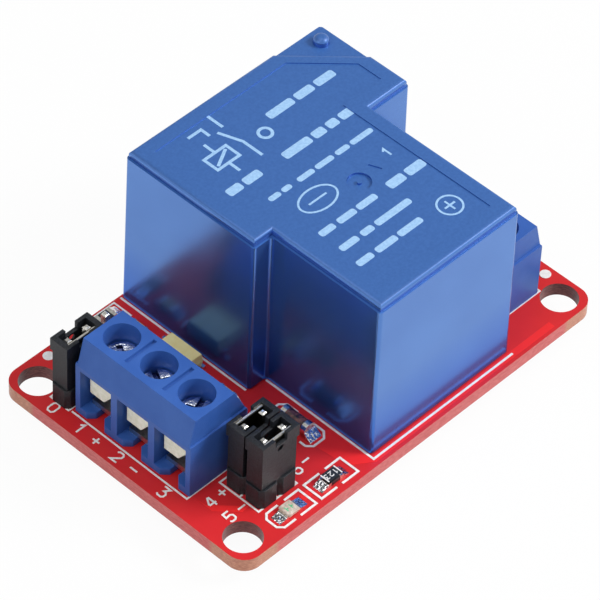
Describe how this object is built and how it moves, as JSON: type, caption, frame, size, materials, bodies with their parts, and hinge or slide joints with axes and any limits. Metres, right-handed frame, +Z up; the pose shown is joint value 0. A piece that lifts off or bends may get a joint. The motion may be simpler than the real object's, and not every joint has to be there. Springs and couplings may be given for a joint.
{
  "type": "relay module board",
  "caption": "Circuit board with a sealed power relay, screw terminals for the input and output wires, and pin headers with shunts that set the trigger.",
  "frame": {"origin": "centre of the four mounting holes on the underside of the board", "axes": "+X along the board from the input terminal to the output terminal, +Y to the long edge behind the relay, +Z up from the board towards the relay"},
  "size_m": [0.0506, 0.0336, 0.0237],
  "materials": {
    "solder_mask_red": "gloss",
    "housing_blue": "satin",
    "terminal_blue": "satin",
    "base_plastic": "matte",
    "black_plastic": "satin",
    "package_plastic": "matte",
    "black_resin": "matte",
    "bobbin_plastic": "matte",
    "solder": "gloss",
    "tinned_brass": "satin",
    "plated_steel": "satin",
    "gold_flash": "gloss",
    "tinned_pin": "gloss",
    "soft_iron": "satin",
    "copper_wire": "gloss",
    "contact_bronze": "satin",
    "chip_ceramic": "matte",
    "capacitor_ceramic": "matte",
    "lens_resin": "gloss",
    "diode_glass": "gloss",
    "legend_ink": "matte",
    "print_ink": "satin"
  },
  "bodies": {
    "board": {"base_resistor": "chip_ceramic", "chip_end_caps": "tinned_pin", "chip_solder": "solder", "circuit_board": "solder_mask_red", "closed_terminal": "contact_bronze", "coil_bobbin": "bobbin_plastic", "coil_core": "soft_iron", "coil_pins": "tinned_brass", "coil_winding": "copper_wire", "common_terminal": "contact_bronze", "drive_transistor": "black_resin", "drive_transistor_leads": "tinned_pin", "filter_capacitor_1": "capacitor_ceramic", "filter_capacitor_2": "capacitor_ceramic", "flyback_diode": "diode_glass", "flyback_diode_caps": "tinned_pin", "input_contacts": "tinned_brass", "input_resistor": "chip_ceramic", "input_terminal_housing": "terminal_blue", "led_resistor": "chip_ceramic", "open_terminal": "contact_bronze", "optocoupler": "package_plastic", "optocoupler_leads": "tinned_pin", "output_contacts": "tinned_brass", "output_terminal_housing": "terminal_blue", "relay_base": "base_plastic", "relay_cover": "housing_blue", "setting_header_body": "black_plastic", "setting_header_pins": "tinned_pin", "solder_joints": "solder", "status_led_base": "chip_ceramic", "status_led_lens": "lens_resin", "trigger_header_body": "black_plastic", "trigger_header_pins": "tinned_pin", "yoke": "soft_iron"},
    "input_clamp_1": {"input_clamp_1": "plated_steel"},
    "input_screw_1": {"input_screw_1": "plated_steel"},
    "input_clamp_2": {"input_clamp_2": "plated_steel"},
    "input_screw_2": {"input_screw_2": "plated_steel"},
    "input_clamp_3": {"input_clamp_3": "plated_steel"},
    "input_screw_3": {"input_screw_3": "plated_steel"},
    "output_clamp_1": {"output_clamp_1": "plated_steel"},
    "output_screw_1": {"output_screw_1": "plated_steel"},
    "output_clamp_2": {"output_clamp_2": "plated_steel"},
    "output_screw_2": {"output_screw_2": "plated_steel"},
    "output_clamp_3": {"output_clamp_3": "plated_steel"},
    "output_screw_3": {"output_screw_3": "plated_steel"},
    "trigger_shunt": {"trigger_shunt_cap": "black_plastic", "trigger_shunt_clip": "gold_flash"},
    "setting_shunt_1": {"setting_shunt_cap_1": "black_plastic", "setting_shunt_clip_1": "gold_flash"},
    "setting_shunt_2": {"setting_shunt_cap_2": "black_plastic", "setting_shunt_clip_2": "gold_flash"},
    "armature": {"armature": "soft_iron", "contact_spring": "contact_bronze"}
  },
  "joints": [
    {"name": "input_clamp_1_slide", "type": "slide", "parent": "board", "child": "input_clamp_1", "axis": [0, 0, 1], "range_m": [-0.001, 0.00085]},
    {"name": "input_screw_1_turn", "type": "hinge", "parent": "input_clamp_1", "child": "input_screw_1", "pos_m": [-0.01925, -0.00423, 0.0092], "axis": [0, 0, 1], "range_deg": [-721, 613]},
    {"name": "input_clamp_2_slide", "type": "slide", "parent": "board", "child": "input_clamp_2", "axis": [0, 0, 1], "range_m": [-0.001, 0.00085]},
    {"name": "input_screw_2_turn", "type": "hinge", "parent": "input_clamp_2", "child": "input_screw_2", "pos_m": [-0.01925, 0.00085, 0.0092], "axis": [0, 0, 1], "range_deg": [-721, 613]},
    {"name": "input_clamp_3_slide", "type": "slide", "parent": "board", "child": "input_clamp_3", "axis": [0, 0, 1], "range_m": [-0.001, 0.00085]},
    {"name": "input_screw_3_turn", "type": "hinge", "parent": "input_clamp_3", "child": "input_screw_3", "pos_m": [-0.01925, 0.00593, 0.0092], "axis": [0, 0, 1], "range_deg": [-721, 613]},
    {"name": "output_clamp_1_slide", "type": "slide", "parent": "board", "child": "output_clamp_1", "axis": [0, 0, 1], "range_m": [-0.001, 0.00085]},
    {"name": "output_screw_1_turn", "type": "hinge", "parent": "output_clamp_1", "child": "output_screw_1", "pos_m": [0.01805, 0.00084, 0.0092], "axis": [0, 0, 1], "range_deg": [-721, 613]},
    {"name": "output_clamp_2_slide", "type": "slide", "parent": "board", "child": "output_clamp_2", "axis": [0, 0, 1], "range_m": [-0.001, 0.00085]},
    {"name": "output_screw_2_turn", "type": "hinge", "parent": "output_clamp_2", "child": "output_screw_2", "pos_m": [0.01805, -0.00424, 0.0092], "axis": [0, 0, 1], "range_deg": [-721, 613]},
    {"name": "output_clamp_3_slide", "type": "slide", "parent": "board", "child": "output_clamp_3", "axis": [0, 0, 1], "range_m": [-0.001, 0.00085]},
    {"name": "output_screw_3_turn", "type": "hinge", "parent": "output_clamp_3", "child": "output_screw_3", "pos_m": [0.01805, -0.00932, 0.0092], "axis": [0, 0, 1], "range_deg": [-721, 613]},
    {"name": "trigger_shunt_pull", "type": "slide", "parent": "board", "child": "trigger_shunt", "axis": [0, 0, 1], "range_m": [0, 0.006]},
    {"name": "setting_shunt_1_pull", "type": "slide", "parent": "board", "child": "setting_shunt_1", "axis": [0, 0, 1], "range_m": [0, 0.006]},
    {"name": "setting_shunt_2_pull", "type": "slide", "parent": "board", "child": "setting_shunt_2", "axis": [0, 0, 1], "range_m": [0, 0.006]},
    {"name": "armature_tip", "type": "hinge", "parent": "board", "child": "armature", "pos_m": [0.00354, 0.01395, 0.01709], "axis": [1, 0, 0], "range_deg": [0, 3.5], "stiffness_Nm_per_rad": 0.02, "springref_deg": -5.73}
  ],
  "couplings": [
    {"joint": "input_screw_1_turn", "follows": "input_clamp_1_slide", "rad_per_m": 12566},
    {"joint": "input_screw_2_turn", "follows": "input_clamp_2_slide", "rad_per_m": 12566},
    {"joint": "input_screw_3_turn", "follows": "input_clamp_3_slide", "rad_per_m": 12566},
    {"joint": "output_screw_1_turn", "follows": "output_clamp_1_slide", "rad_per_m": 12566},
    {"joint": "output_screw_2_turn", "follows": "output_clamp_2_slide", "rad_per_m": 12566},
    {"joint": "output_screw_3_turn", "follows": "output_clamp_3_slide", "rad_per_m": 12566}
  ]
}
